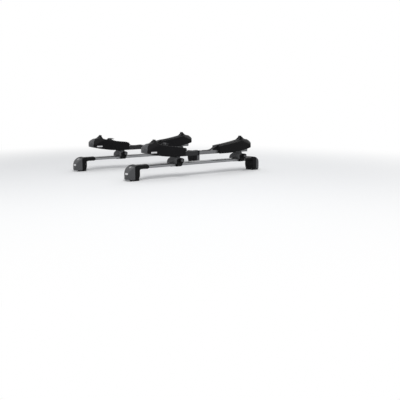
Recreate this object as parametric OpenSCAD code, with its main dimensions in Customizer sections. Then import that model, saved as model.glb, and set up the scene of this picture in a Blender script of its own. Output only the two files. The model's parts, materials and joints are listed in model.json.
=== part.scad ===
// Telescoping roof carrier: two crossbars on rail feet, and on each crossbar
// a telescoping padded cradle with a horn at each end, held by two clamps, with a strap across it.
// X runs along the crossbars, Y from the front pair to the rear one, Z up. The feet stand on Z = 0.

/* [Crossbars] */
// Distance between the two crossbars, centre to centre
bar_spacing = 716; // [600:1:900]
// Width of the wing section, front edge to rear edge
bar_chord = 76; // [70:1:84]
// Height of the wing section
bar_thick = 24; // [22:0.5:26]
// Wall of the hollow extrusion
bar_wall = 2; // [1.5:0.1:2.6]
// Height of the bar's middle above the ground plane
bar_z = 86; // [84:1:90]
// Width of the slot's mouth along the top of the bar
slot_mouth = 11; // [9:0.5:13]
// Width of the slot's chamber under the mouth
slot_chamber = 22; // [18:0.5:24]

/* [Feet] */
// Distance between the inner faces of the two legs of one crossbar
leg_gap = 998; // [960:1:1200]
// Length of a foot along the bar, from the leg's inner face to the outermost point of its cover
foot_len = 87; // [80:1:96]
// Width of a foot along Y
foot_w = 85; // [82:1:92]
// Height of a foot
foot_h = 101; // [100:1:108]
// Length of the leg along the bar, up to the joint with its cover
leg_len = 37; // [34:1:42]
// How far the bar reaches into the leg
bar_in = 15; // [10:1:16]
// How far the sleeve reaches along the bar from the leg
sleeve_len = 73; // [50:1:90]
// Wall of the sleeve round the bar
sleeve_wall = 3; // [2.5:0.5:4]
// Wall of the foot's cover
cover_wall = 2.5; // [1.6:0.1:3.5]
// Clear height of the foot's gripping gap
grip_h = 8; // [6:0.5:9]
// Clear width of that gap
grip_w = 46; // [38:1:48]
// Radius of the lock's face
lock_r = 9; // [7:0.5:10]
// Radius of the bolt that pulls the rail claw in
bolt_r = 4; // [3:0.5:5]

/* [Cradle] */
// Width between the horns as shown
board_w = 752; // [700:1:860]
// Narrowest load that the cradle takes
board_min = 700; // [680:1:720]
// Widest load that the cradle takes
board_max = 860; // [800:1:880]
// Place along the bar of the left horn's inner face
left_horn_x = -353; // [-380:1:-320]
// Length of a housing inwards from its horn's inner face
housing_in = 223; // [200:1:240]
// Length of a housing outwards from its horn's inner face
housing_out = 100; // [94:1:110]
// Width of a housing along Y
housing_w = 86; // [84:1:96]
// Height of a housing's underside above the ground plane at its inner end
housing_z = 140; // [139:0.5:142]
// Height of a housing at its inner end
housing_h = 55; // [50:1:60]
// Wall of a housing
housing_wall = 3; // [2:0.25:3.5]
// Height of the horn's tip above the crown at its foot
horn_up = 23; // [18:0.5:40]
// Thickness of the pad on a housing
pad_t = 5; // [4:0.5:8]

/* [Telescope] */
// Width of the outer tube
outer_w = 59; // [58:0.5:62]
// Height of the outer tube's underside above the ground plane
tube_z = 138; // [137:0.5:139]
// Height of the outer tube
outer_h = 30; // [29:0.5:32]
// Place along the bar of the outer tube's open end
outer_end_x = -9; // [-40:1:20]
// How much the outer tube stands out past the inner one at each side
step_side = 5; // [4.5:0.5:6.5]
// How much the outer tube stands out past the inner one above and below
step_up = 3.5; // [3:0.5:5]
// Length of the inner tube that stays in the outer one at full reach
tube_grip = 70; // [50:1:90]
// Gap between pieces that slide
slide_gap = 0.4; // [0.3:0.05:0.5]

/* [Clamps] */
// Place along the bar of the left clamp
left_clamp_x = -189; // [-200:1:-180]
// Place along the bar of the right clamp
right_clamp_x = 382; // [370:1:384]
// Width of a clamp along the bar
clamp_w = 44; // [40:1:48]
// Half the length of a clamp's dome along Y
dome_a = 66; // [62:1:70]
// Height of the dome's crown above the ground plane
dome_top = 136; // [132:0.5:136]
// Height of the clamp screw above the ground plane
screw_z = 117; // [115:0.5:118]
// Radius of the clamp screw
screw_r = 4; // [3:0.5:4.5]
// How far the front jaw travels
jaw_travel = 20; // [12:1:22]
// Radius of the knob
knob_r = 15.5; // [12:0.5:17]
// Length of the knob's grip
knob_len = 20; // [14:1:24]

/* [Strap] */
// Width of the webbing
strap_w = 25; // [20:1:26]
// Thickness of the webbing
strap_t = 1.6; // [1.2:0.1:2]
// Place of the buckle, inwards from the left horn's inner face
buckle_in = 76; // [60:1:120]
// Radius of the buckle's pin
pin_r = 2; // [1.5:0.25:2.5]

/* [Hidden] */
ROWS = ["front", "rear"];
SIDES = ["left", "right"];
ROW_PARTS = ["crossbar", "slot_strip", "foot_pads", "outer_tube", "inner_tube", "tube_glide",
    "strap", "strap_buckle", "buckle_lever"];
SIDE_PARTS = ["foot_body", "foot_cover", "foot_lock", "rail_claw", "housing", "end_cap", "pad",
    "clamp_saddle", "clamp_jaw", "clamp_knob"];

$fn = 48;
// A cut runs this far past the face that it opens
past = 1;
// Clearance between pieces that only lie beside each other
fit = 0.3;

// Crossbar section: two half ellipses that meet at its thickest place
nose_a = 0.42 * bar_chord;
tail_a = bar_chord - nose_a;
thick_y = nose_a - bar_chord / 2;
bar_len = leg_gap + 2 * bar_in;
bar_top = bar_z + bar_thick / 2;
slot_lip = 3.5;
slot_depth = 9;
strip_drop = 0.2;

// Feet, measured outwards from the middle of the bar
leg_x = leg_gap / 2;
cover_x = leg_x + leg_len;
foot_end = leg_x + foot_len;
foot_r = foot_w / 2;
// The foot's side outline is a quarter ellipse that starts a little outside the leg's inner face
brow_x = leg_x + 6;
brow_z = 15;
brow_a = foot_end - brow_x;
brow_b = foot_h - brow_z;
skirt_z = 8;
base_z = grip_h + 2;
base_t = 5;
seat_x = leg_x + 13;
seat_end = seat_x + grip_w;
lip_t = 4;
pad_half = foot_w / 2 - 4.5;
claw_t = 3;
claw_half = 20;
claw_x = seat_end + 7;
claw_top = 50;
bolt_z = 34;
bolt_head_r = 6.5;
bolt_head = 8;
lock_angle = 59;
lock_x = brow_x + brow_a * cos(lock_angle);
lock_z = brow_z + brow_b * sin(lock_angle);
lock_tilt = 90 - atan2(sin(lock_angle) / brow_b, cos(lock_angle) / brow_a);
lock_len = 12;
lock_boss = 2.5;

// Cradle, measured outwards from the inner face of its horn
right_horn_x = left_horn_x + board_w;
in_end = -housing_in;
out_end = housing_out;
belly_flat = 62;
belly_r = 930;
crown_slope = 0.10;
crown_lift = 11.4;
tip_in = 6;
tip_out = 15;
tip_half = 16;
horn_foot = -5;
horn_z = crown(horn_foot) + horn_up;
taper_tilt = 22;
taper_low = crown(horn_foot) - 6;
taper_high = horn_z + tan(taper_tilt) * (tip_out - horn_foot);
shoulder_v = out_end - 49;
shoulder_z = horn_z - 18;
brim_z = belly(out_end) + 4;
end_r = 49;
end_v = out_end - end_r;
flank_v = end_v + sqrt(end_r * end_r - housing_w * housing_w / 4);
seam_v = out_end - 16;
seam_drop = 5.5;
seam_turn = 70;
recess = 3;
pad_side = 6;
pad_in = 12;
pad_out = 2;
seam_spare = 20;
slot_v = 10.5;
slot_gap = 4;
rib_t = 2.5;
rib_pitch = 30;
rib_low = 152;
lane_half = 34;

// Telescope
inner_w = outer_w - 2 * step_side;
inner_h = outer_h - 2 * step_up;
inner_z = tube_z + step_up;
tube_top = tube_z + outer_h;
inner_top = inner_z + inner_h;
inner_wall = 2.5;
inner_side = 4;
groove = 3;
groove_deep = 2;
groove_up = 3;
outer_start_x = left_clamp_x - clamp_w / 2 - 19;
inner_start_x = outer_end_x - (board_max - board_w) - tube_grip;
inner_stop_x = right_clamp_x + clamp_w / 2 + (board_w - board_min) + 4;
glide_len = 9;
glide_wall = 1.5;

// Clamps, measured along Y from the middle of the bar
dome_z = 95;
dome_b = dome_top - dome_z;
jaw_y = -46;
jaw_w = clamp_w - 4;
jaw_front = -60;
boss_r = 11;
boss_front = -62;
guide_r = 3.5;
guide_x = 14;
guide_z = 106;
guide_len = jaw_travel + 12;
bore_spare = 2;
lip_w = 30;
grip_t = 3;
hook_tip = -20;
rear_hook = 18;
knob_back = boss_front - 0.2;
collar_r = 9;
collar_len = 2;
knob_front = knob_back - collar_len - knob_len;
flutes = 6;
flute_r = 5;

// The knobs reach further forwards than the domes reach back, so the pair is set back by half of it
set_back = (-knob_front - dome_a) / 2;

// Buckle, on a slope that follows the pad
buckle_v = -buckle_in;
buckle_slope = atan(crown_slope + 2 * crown_lift * (buckle_v - in_end) / pow(housing_in, 2));
pad_proud = pad_t - recess;
frame_l = 40;
frame_t = 1.5;
cheek_t = 2.5;
cheek_h = 14;
strap_half = strap_w / 2;
cheek_in = strap_half + 1;
pin_x = -3;
pin_z = 10.5;
cam_r = 5.5;

function row_y(row) = (row == "front" ? -1 : 1) * bar_spacing / 2 + set_back;
function arc(c, a, b, from, to, n) =
    [for (i = [0 : n]) let (t = from + (to - from) * i / n) [c[0] + a * cos(t), c[1] + b * sin(t)]];
function bend(p, q, r, n) =
    [for (i = [0 : n]) let (t = i / n) (1 - t) * (1 - t) * p + 2 * t * (1 - t) * q + t * t * r];
function flip(points) = [for (i = [len(points) - 1 : -1 : 0]) points[i]];

// The wing section, larger by grow all round, as points along Y and up
function wing(grow) = [for (i = [0 : 59]) let (t = 6 * i, a = cos(t) < 0 ? nose_a : tail_a)
    [thick_y + (a + grow) * cos(t), bar_z + (bar_thick / 2 + grow) * sin(t)]];

// The side outline of a foot, smaller by inset on its outside
function foot_side(inset) = concat(
    [[leg_x, skirt_z - (inset > 0 ? 20 : 0)], [leg_x, foot_h - inset]],
    arc([brow_x, brow_z], brow_a - inset, brow_b - inset, 90, 0, 18),
    [[foot_end - inset, skirt_z - (inset > 0 ? 20 : 0)]]);

// A housing's underside and crown at a distance outwards from the horn's inner face
function belly(v) = housing_z + pow(max(0, v - in_end - belly_flat), 2) / (2 * belly_r);
function crown(v) = housing_z + housing_h + crown_slope * (v - in_end)
    + crown_lift * pow((v - in_end) / housing_in, 2);
function belly_line(from, to, up, n) =
    [for (i = [0 : n]) let (v = from + (to - from) * i / n) [v, belly(v) + up]];
function crown_line(from, to, up, n) =
    [for (i = [0 : n]) let (v = from + (to - from) * i / n) [v, crown(v) + up]];

// The side outline of a housing with its cap and horn
function housing_side() = concat(
    belly_line(in_end, out_end - 2, 0, 14),
    arc([shoulder_v, brim_z], out_end - shoulder_v, shoulder_z - brim_z, 0, 90, 9),
    bend([shoulder_v, shoulder_z], [tip_out + 5, shoulder_z + 1], [tip_out, horn_z], 8),
    bend([tip_in, horn_z], [tip_in / 2, horn_z - 0.6 * horn_up], [horn_foot, crown(horn_foot)], 8),
    crown_line(horn_foot - 8, in_end + 3, 0, 10),
    [[in_end, crown(in_end) - 3]]);

// The hollow of a housing and its cap, a wall in from the outside
function hollow_side(wall) = concat(
    belly_line(in_end + wall, out_end - 2 - wall, wall, 8),
    arc([shoulder_v, brim_z], out_end - shoulder_v - wall, shoulder_z - brim_z - wall, 0, 90, 7),
    bend([shoulder_v, shoulder_z - wall], [tip_out + 2 + wall, shoulder_z + 2 - wall],
        [slot_v + slot_gap / 2 + wall, shoulder_z + 11 - wall], 6),
    [[slot_v + slot_gap / 2 + wall, crown(0) - wall]],
    crown_line(horn_foot, in_end + wall, -recess - wall, 10));

// The seam between housing and cap, a crescent's inner edge that steps out through the top
function seam_line(low, high) = let (curve = arc([shoulder_v, brim_z], seam_v - shoulder_v,
    shoulder_z - brim_z - seam_drop, 0, seam_turn, 7))
    concat([[seam_v, low]], curve, [[curve[len(curve) - 1][0], high]]);

// The taper towards the horn's tip, seen from the end at the horn's foot, as half widths and heights
function horn_end(wall) = let (half = housing_w / 2 - wall, tip = tip_half - wall, right = concat(
    [[half, housing_z - 3 * housing_w]],
    bend([half, taper_low], [half - 3, taper_low + 0.25 * (taper_high - taper_low)], [tip, taper_high], 6),
    [[tip, taper_high + housing_w]]))
    concat(right, [for (p = flip(right)) [-p[0], p[1]]]);

module along_y(width) {
    translate([0, width / 2, 0]) rotate([90, 0, 0]) linear_extrude(width) children();
}

module along_x(from, to) {
    translate([from, 0, 0]) rotate([90, 0, 90]) linear_extrude(to - from) children();
}

module block(low, high) {
    translate(low) cube(high - low);
}

module rod_x(r, from, to) {
    translate([from, 0, 0]) rotate([0, 90, 0]) cylinder(r = r, h = to - from);
}

module rod_y(r, from, to) {
    translate([0, to, 0]) rotate([90, 0, 0]) cylinder(r = r, h = to - from);
}

module foot_side_of(side) {
    if (side == "left") mirror([1, 0, 0]) children();
    else children();
}

module cradle_side_of(side) {
    if (side == "left") translate([left_horn_x, 0, 0]) mirror([1, 0, 0]) children();
    else translate([right_horn_x, 0, 0]) children();
}

// Crossbars

module crossbar() {
    color("silver") union() {
        difference() {
            along_x(-bar_len / 2, bar_len / 2) polygon(wing(0));
            along_x(-bar_len / 2 - past, bar_len / 2 + past) polygon(wing(-bar_wall));
            slot_cut();
        }
        difference() {
            intersection() {
                along_x(-bar_len / 2, bar_len / 2) polygon(wing(-bar_wall / 2));
                slot_walls();
            }
            slot_cut();
        }
    }
}

module slot_walls() {
    chamber = slot_chamber / 2 + bar_wall;
    block([-bar_len / 2, -chamber, bar_top - slot_depth - bar_wall], [bar_len / 2, chamber, bar_top]);
    block([-bar_len / 2, -bar_wall / 2, bar_z - bar_thick / 2], [bar_len / 2, bar_wall / 2, bar_top - slot_depth]);
}

module slot_cut() {
    long = bar_len / 2 + past;
    mouth = slot_mouth / 2;
    chamber = slot_chamber / 2;
    block([-long, -mouth, bar_top - slot_depth + past], [long, mouth, bar_top + past]);
    block([-long, -chamber, bar_top - slot_depth], [long, chamber, bar_top - slot_lip]);
}

module slot_strip() {
    half = leg_x - sleeve_len - 1;
    floor_z = bar_top - slot_depth;
    color("#202022") union() {
        block([-half, -slot_mouth / 2 + fit, floor_z], [half, slot_mouth / 2 - fit, bar_top - strip_drop - fit]);
        block([-half, -slot_chamber / 2 + 1, floor_z], [half, slot_chamber / 2 - 1, floor_z + 2]);
    }
}

// Feet

module foot_body() {
    bore_end = bar_len / 2 + fit;
    pocket_top = bar_z - bar_thick / 2 - 10;
    color("#1c1c1e") difference() {
        union() {
            intersection() {
                along_y(foot_w) polygon(foot_side(0));
                along_y(foot_w) polygon([[leg_x, foot_h + past], [leg_x, 35], [leg_x + 7, base_z],
                    [cover_x, base_z], [cover_x, foot_h + past]]);
            }
            base_plate();
            block([seat_x - lip_t - 6, -pad_half, 2], [seat_x - lip_t, pad_half, base_z + 2]);
            along_x(leg_x - sleeve_len, leg_x + past) polygon(wing(sleeve_wall + fit));
            along_x(leg_x - sleeve_len, leg_x - sleeve_len + 6) polygon(wing(sleeve_wall + 1 + fit));
            knee();
        }
        along_x(leg_x - sleeve_len - past, bore_end) polygon(wing(fit));
        difference() {
            block([leg_x + 6, -foot_r + 5, base_z + base_t + 2], [cover_x + past, foot_r - 5, pocket_top]);
            for (y = [-15, 15]) block([leg_x, y - 1.5, base_z], [cover_x - 2, y + 1.5, pocket_top + past]);
            translate([0, 0, bolt_z]) rod_x(bolt_head_r + 3, leg_x, cover_x - 2);
        }
        translate([0, 0, bolt_z]) rod_x(bolt_r + 0.1, leg_x + 10, cover_x + past);
        at_lock(-lock_len - 5) cylinder(r = lock_r + 1, h = lock_len + 20);
    }
}

// The plate under the foot keeps clear of the cover's round wall
module base_plate() {
    intersection() {
        block([leg_x + 7, -pad_half, base_z], [claw_x - 2, pad_half, base_z + base_t]);
        foot_plan(cover_wall + fit);
    }
}

// The inside corner between sleeve and leg is filled by a hollow curve
module knee() {
    knee_r = 15;
    low = bar_z - bar_thick / 2 - sleeve_wall;
    along_y(foot_w - 24) polygon(concat([[leg_x + past, low + 4], [leg_x - knee_r, low + 4]],
        arc([leg_x - knee_r, low - knee_r], knee_r, knee_r, 90, 0, 8), [[leg_x + past, low - knee_r]]));
}

module foot_plan(inset) {
    translate([foot_end - foot_r, 0, -20]) cylinder(r = foot_r - inset, h = 20 + foot_h + past, $fn = 96);
    block([leg_x, -foot_r + inset, -20], [foot_end - foot_r, foot_r - inset, foot_h + past]);
}

module foot_form(inset) {
    intersection() {
        along_y(foot_w + past) polygon(foot_side(inset));
        foot_plan(inset);
    }
}

module at_lock(along = 0) {
    translate([lock_x, 0, lock_z]) rotate([0, lock_tilt, 0]) translate([0, 0, along]) children();
}

module foot_cover() {
    color("#6f7073") difference() {
        union() {
            difference() {
                foot_form(0);
                foot_form(cover_wall);
            }
            intersection() {
                foot_form(cover_wall / 2);
                at_lock(-lock_len + 4) cylinder(r = lock_r + lock_boss, h = lock_len);
            }
        }
        block([leg_x - 20, -foot_w, -past], [cover_x + fit, foot_w, foot_h + past]);
        at_lock(-lock_len - past) cylinder(r = lock_r + 0.15, h = lock_len + 10);
    }
}

module foot_lock() {
    face = -0.8;
    color("#b9babb") at_lock() difference() {
        union() {
            translate([0, 0, face - lock_len + 2]) cylinder(r = lock_r, h = lock_len - 2);
            block([-3, -3, face - lock_len - 3], [3, 7, face - lock_len + 2]);
        }
        block([-1, -4, face - 2.5], [1, 4, face + past]);
    }
}

module rail_claw() {
    color("#8d8f92") difference() {
        union() {
            block([claw_x, -claw_half, 0.5], [claw_x + claw_t, claw_half, claw_top]);
            block([seat_end - 3, -claw_half, 0.5], [claw_x + claw_t, claw_half, 4]);
            along_y(2 * claw_half) polygon([[claw_x - 4, 4], [claw_x + past, 4], [claw_x + past, 9]]);
        }
        translate([0, 0, bolt_z]) rod_x(bolt_r + 0.4, claw_x - past, claw_x + claw_t + past);
    }
}

module foot_pad() {
    color("#141414") difference() {
        intersection() {
            block([seat_x - lip_t, -pad_half, 0], [seat_end + lip_t, pad_half, base_z]);
            foot_plan(cover_wall + fit);
        }
        block([seat_x, -foot_w, -past], [seat_end, foot_w, grip_h]);
        block([seat_end - past, -claw_half - 2, -past], [seat_end + lip_t + past, claw_half + 2, grip_h]);
    }
}

module foot_bolt() {
    color("#9a9c9f") translate([0, 0, bolt_z]) difference() {
        union() {
            rod_x(bolt_r, leg_x + 12, claw_x + claw_t + past);
            rod_x(bolt_head_r, claw_x + claw_t, claw_x + claw_t + bolt_head);
        }
        translate([claw_x + claw_t + bolt_head - 4, 0, 0]) rotate([0, 90, 0])
            cylinder(r = 3.2, h = 4 + past, $fn = 6);
    }
}

// Cradles

module housing_form() {
    intersection() {
        along_y(housing_w) polygon(housing_side());
        horn_taper(0);
        housing_plan(0);
    }
}

// The taper starts lower the farther out it is, so the end is a dome
module horn_taper(wall) {
    reach = housing_in + housing_out + housing_w;
    translate([horn_foot, 0, horn_z]) rotate([0, taper_tilt, 0]) along_x(-reach, reach)
        polygon([for (p = horn_end(wall)) [p[0], (p[1] - horn_z) * cos(taper_tilt)]]);
}

module housing_plan(wall) {
    half = housing_w / 2 - wall;
    translate([end_v, 0, housing_z - 10]) cylinder(r = end_r - wall, h = 160, $fn = 96);
    block([in_end + wall, -half, housing_z - 10], [flank_v, half, housing_z + 150]);
}

module housing_hollow(wall) {
    intersection() {
        along_y(housing_w - 2 * wall) polygon(hollow_side(wall));
        horn_taper(wall);
        housing_plan(wall);
    }
}

// Everything outside the seam between housing and cap, moved outwards by shift
module beyond_seam(shift) {
    floor_z = housing_z - seam_spare;
    roof_z = horn_z + seam_spare;
    end = out_end + seam_spare;
    along_y(2 * housing_w) polygon(concat(
        [for (p = seam_line(floor_z, roof_z)) p + [shift, 0]], [[end, roof_z], [end, floor_z]]));
}

module housing(side) {
    tube_half = (side == "left" ? outer_w : inner_w) / 2 + fit;
    tube_crest = side == "left" ? tube_top : inner_top;
    tube_v = side == "left" ? left_horn_x - outer_start_x : inner_stop_x - right_horn_x;
    lane_v = tube_v + 16;
    color("#232325") difference() {
        union() {
            difference() {
                housing_form();
                housing_hollow(housing_wall);
            }
            intersection() {
                housing_hollow(housing_wall / 2);
                for (v = [in_end + 20 : rib_pitch : tube_v - rib_t])
                    block([v, -housing_w, rib_low], [v + rib_t, housing_w, horn_z]);
            }
        }
        beyond_seam(-fit / 2);
        block([in_end - past, -lane_half, 0], [lane_v, lane_half, rib_low]);
        block([in_end - past, -tube_half, 0], [tube_v + fit, tube_half, tube_crest]);
        pad_form(-recess, 10, 0);
        block([slot_v - slot_gap / 2, -strap_half - past, housing_z + 40],
            [slot_v + slot_gap / 2, strap_half + past, horn_z + past]);
    }
}

module pad_form(low, high, short) {
    side = housing_w / 2 - pad_side - short;
    from = in_end + pad_in + short;
    to = horn_foot - pad_out - short;
    along_y(2 * side) polygon(concat(crown_line(from, to, low, 10), crown_line(to, from, high, 10)));
}

module pad() {
    color("#2b2b2e") pad_form(fit / 3 - recess, pad_proud, fit);
}

module end_cap() {
    skin = housing_wall - 0.5;
    color("#77787b") union() {
        intersection() {
            difference() {
                housing_form();
                housing_hollow(skin);
            }
            beyond_seam(fit / 2);
        }
        intersection() {
            difference() {
                housing_hollow(housing_wall + fit);
                housing_hollow(housing_wall + 2);
                beyond_seam(3);
            }
            beyond_seam(-8);
        }
        intersection() {
            difference() {
                housing_hollow(skin / 2);
                housing_hollow(housing_wall + 2);
                beyond_seam(3);
            }
            beyond_seam(fit / 2);
        }
    }
}

// Tubes

module tube(from, to, width, height, low, top_wall, side_wall, groove_low) {
    difference() {
        block([from, -width / 2, low], [to, width / 2, low + height]);
        block([from - past, -width / 2 + side_wall, low + top_wall],
            [to + past, width / 2 - side_wall, low + height - top_wall]);
        for (side = [-1, 1]) {
            near = side * (width / 2 - groove_deep);
            far = side * (width / 2 + past);
            block([from - past, min(near, far), groove_low], [to + past, max(near, far), groove_low + groove]);
        }
    }
}

module outer_tube() {
    color("#4a4b4e") tube(outer_start_x, outer_end_x, outer_w, outer_h, tube_z,
        step_up - slide_gap, step_side - slide_gap, tube_z + groove_up);
}

module inner_tube() {
    color("#8a8b8e") tube(inner_start_x, inner_stop_x, inner_w, inner_h, inner_z,
        inner_wall, inner_side, inner_z + groove_up);
}

module tube_glide() {
    half = outer_w / 2 + glide_wall;
    way = inner_w / 2 + slide_gap;
    color("#161617") difference() {
        block([outer_end_x, -half, tube_z - glide_wall], [outer_end_x + glide_len, half, tube_top + glide_wall]);
        block([outer_end_x - past, -way, inner_z - slide_gap],
            [outer_end_x + glide_len + past, way, inner_top + slide_gap]);
    }
}

// Clamps

module at_clamp(side) {
    translate([side == "left" ? left_clamp_x : right_clamp_x, 0, 0]) children();
}

module clamp_saddle(side) {
    tube_half = (side == "left" ? outer_w : inner_w) / 2;
    neck_top = side == "left" ? tube_z : inner_z - fit;
    groove_low = (side == "left" ? tube_z : inner_z) + groove_up;
    back = sin(acos(jaw_y / dome_a));
    color("#75767a") difference() {
        union() {
            along_x(-clamp_w / 2, clamp_w / 2) polygon(concat(
                [[jaw_y, bar_z + 6], [jaw_y, dome_z + dome_b * back]],
                arc([0, dome_z], dome_a, dome_b, acos(jaw_y / dome_a) - 4, 0, 24),
                [[dome_a - 1, bar_z], [dome_a - 6, bar_z - 10], [dome_a - 20, bar_z - 17],
                    [rear_hook, bar_z - 18], [rear_hook, bar_z + 6]]));
            block([-clamp_w / 2 + 2, -tube_half - fit - grip_t, dome_top - 16],
                [clamp_w / 2 - 2, tube_half + fit + grip_t, neck_top]);
            for (y = [-1, 1]) lip(y, tube_half, neck_top, groove_low);
        }
        along_x(-clamp_w, clamp_w) polygon(wing(fit));
        translate([0, 0, screw_z]) rod_y(screw_r + 0.2, jaw_y - past - 20, jaw_y + 34 + bore_spare);
        for (x = [-guide_x, guide_x]) translate([x, 0, guide_z])
            rod_y(guide_r + 0.1, jaw_y - past - 20, jaw_y + guide_len + bore_spare);
    }
}

// One of the two lips that hook into the grooves of a tube
module lip(y, tube_half, neck_top, groove_low) {
    outside = tube_half + fit + grip_t;
    bead = tube_half - groove_deep + fit;
    top = groove_low + groove - fit;
    scale([1, y, 1]) along_x(-lip_w / 2, lip_w / 2) polygon([
        [outside, neck_top - 6], [outside, top - 1], [outside - 1, top], [bead, top],
        [bead, groove_low + fit], [tube_half + fit, groove_low + fit], [tube_half + fit, neck_top - 6]]);
}

module clamp_jaw() {
    color("#1b1b1d") difference() {
        union() {
            along_x(-jaw_w / 2, jaw_w / 2) polygon([
                [jaw_y - fit, 124], [-53, 120], [-58, 114], [jaw_front, 108], [jaw_front, 94], [-57, 85],
                [-51, 77], [-43, 73], [hook_tip, 73], [hook_tip, 82], [-36, 88], [jaw_y - fit, 92]]);
            translate([0, 0, screw_z]) rod_y(boss_r, boss_front, jaw_y - fit);
            for (x = [-guide_x, guide_x]) translate([x, 0, guide_z])
                rod_y(guide_r, jaw_y - 4, jaw_y + guide_len);
        }
        along_x(-clamp_w, clamp_w) polygon(wing(fit));
        translate([0, 0, screw_z]) rod_y(screw_r + 0.5, boss_front - past, jaw_y + past);
    }
}

module clamp_knob() {
    grip_back = knob_back - collar_len;
    color("#151516") translate([0, 0, screw_z]) difference() {
        union() {
            rod_y(screw_r, knob_back, jaw_y + 34);
            rod_y(collar_r, grip_back - past, knob_back);
            rod_y(knob_r, knob_front, grip_back);
        }
        for (i = [0 : flutes - 1]) rotate([0, 360 * i / flutes, 0])
            translate([knob_r + 0.6 * flute_r, 0, 0]) rod_y(flute_r, knob_front - past, grip_back - 3);
        rod_y(knob_r - 5, knob_front - past, knob_front + 2);
    }
}

// Straps and buckles

// The webbing's middle line beside one horn, outwards and up, from the slot to the tube
function strap_end(lift) = let (rest = pad_proud + fit + strap_t / 2) concat(
    [[slot_v, horn_z - 30], [slot_v, horn_z - 12], [slot_v, horn_z + 3], [slot_v - 4, horn_z + 7.5],
        [slot_v - 8.5, horn_z + 4], [slot_v - 10.5, horn_z - 0.28 * horn_up],
        [slot_v - 13, horn_z - 0.56 * horn_up],
        [horn_foot - 3, crown(horn_foot - 3) + rest + 2]],
    [for (v = [-26, -44]) [v, crown(v) + rest]],
    [for (v = [buckle_v + 18, buckle_v, buckle_v - 18]) [v, crown(v) + rest + lift]],
    [for (v = [-118, -140, -165, -190]) [v, crown(v) + rest]],
    [[in_end + 6, crown(in_end + 6) + rest], [in_end - 12, crown(in_end) - 6]]);

function strap_line() = let (
    over = strap_t / 2 + fit,
    left = [for (p = strap_end(frame_t + 2 * fit)) [left_horn_x - p[0], p[1]]],
    right = flip([for (p = strap_end(0)) [right_horn_x + p[0], p[1]]]),
    low = inner_top + over,
    middle = [[-103, tube_top + 8], [-90, tube_top + over + 2.6], [-77, tube_top + over + 0.6],
        [-62, tube_top + over], [-34, tube_top + over], [outer_end_x - 5, tube_top + glide_wall + over],
        [outer_end_x + glide_len + 5, tube_top + glide_wall + over], [28, low + 2], [42, low + 0.5],
        [56, low], [90, low], [106, low + 0.6], [120, low + 2.6], [134, low + 7]])
    concat(left, middle, right);

function smooth(p, n) = concat([for (i = [0 : len(p) - 2]) let (
    a = p[max(i - 1, 0)], b = p[i], c = p[i + 1], d = p[min(i + 2, len(p) - 1)])
    for (k = [0 : n - 1]) let (t = k / n) 0.5 * (2 * b + (c - a) * t + (2 * a - 5 * b + 4 * c - d) * t * t
        + (3 * b - a - 3 * c + d) * t * t * t)], [p[len(p) - 1]]);

function ribbon(p, half) = let (n = len(p) - 1, sides = [for (i = [0 : n])
    let (run = p[min(i + 1, n)] - p[max(i - 1, 0)]) half * [-run[1], run[0]] / norm(run)])
    concat([for (i = [0 : n]) p[i] + sides[i]], [for (i = [n : -1 : 0]) p[i] - sides[i]]);

module strap() {
    color("#18181a") along_y(strap_w) polygon(ribbon(smooth(strap_line(), 3), strap_t / 2));
}

module at_buckle() {
    translate([left_horn_x - buckle_v, 0, crown(buckle_v) + pad_proud + fit])
        rotate([0, buckle_slope, 0]) children();
}

module strap_buckle() {
    color("#3a3a3d") at_buckle() difference() {
        union() {
            block([-frame_l / 2, -cheek_in - cheek_t, 0], [frame_l / 2, cheek_in + cheek_t, frame_t]);
            for (y = [-cheek_in - cheek_t, cheek_in]) translate([0, y + cheek_t, 0]) rotate([90, 0, 0])
                linear_extrude(cheek_t) polygon([[-frame_l / 2, 0], [frame_l / 2, 0], [frame_l / 2 - 2, 5],
                    [pin_x + 10, 7], [pin_x + 5, cheek_h], [pin_x - 5, cheek_h], [-frame_l / 2 + 2, 5]]);
        }
        translate([pin_x, 0, pin_z]) rod_y(pin_r + 0.05, -strap_w, strap_w);
    }
}

module buckle_lever() {
    half = cheek_in - 0.5;
    color("#5b5c60") at_buckle() translate([pin_x, 0, pin_z]) difference() {
        union() {
            rod_y(cam_r, -half, half);
            along_y(2 * half) polygon([[0, 5.5], [12, 4], [30, 0.5], [32, 2], [30, 4], [14, 7], [0, 5.5]]);
            along_y(2 * half) polygon([[0, 0], [5, -1], [14, 4], [0, 5.5]]);
        }
        rod_y(pin_r + 0.05, -strap_w, strap_w);
    }
}

module buckle_pin() {
    color("#a8aaad") at_buckle() translate([pin_x, 0, pin_z])
        rod_y(pin_r, -cheek_in - cheek_t - 1, cheek_in + cheek_t + 1);
}

for (row = ROWS) translate([0, row_y(row), 0]) {
    crossbar();
    slot_strip();
    for (side = SIDES) foot_side_of(side) foot_pad();
    outer_tube();
    inner_tube();
    tube_glide();
    strap();
    strap_buckle();
    buckle_lever();
    for (side = SIDES) {
        prefix = str(row, "_", side, "_");
        foot_side_of(side) foot_body();
        foot_side_of(side) foot_cover();
        foot_side_of(side) foot_lock();
        foot_side_of(side) rail_claw();
        cradle_side_of(side) housing(side);
        cradle_side_of(side) end_cap();
        cradle_side_of(side) pad();
        at_clamp(side) clamp_saddle(side);
        at_clamp(side) clamp_jaw();
        at_clamp(side) clamp_knob();
    }
    for (side = SIDES) foot_side_of(side) foot_bolt();  // foot_bolts
    buckle_pin();  // buckle_pins
}
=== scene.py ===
# %% [markdown]
# A roof carrier stands here as on a table: two crossbars on rail feet, and on each bar a padded cradle
# that telescopes, with a strap across it. The solids come from the imported model. This notebook puts a
# finished piece in the place of each: the same form shaded round, the same form cast again with soft
# edges, or a new piece where more is needed than a solid, as for webbing and ribbed pads.

# %% Load the imported model
import bmesh
import bpy
import json
import math
from mathutils import Matrix, Vector
from mathutils.bvhtree import BVHTree


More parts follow.
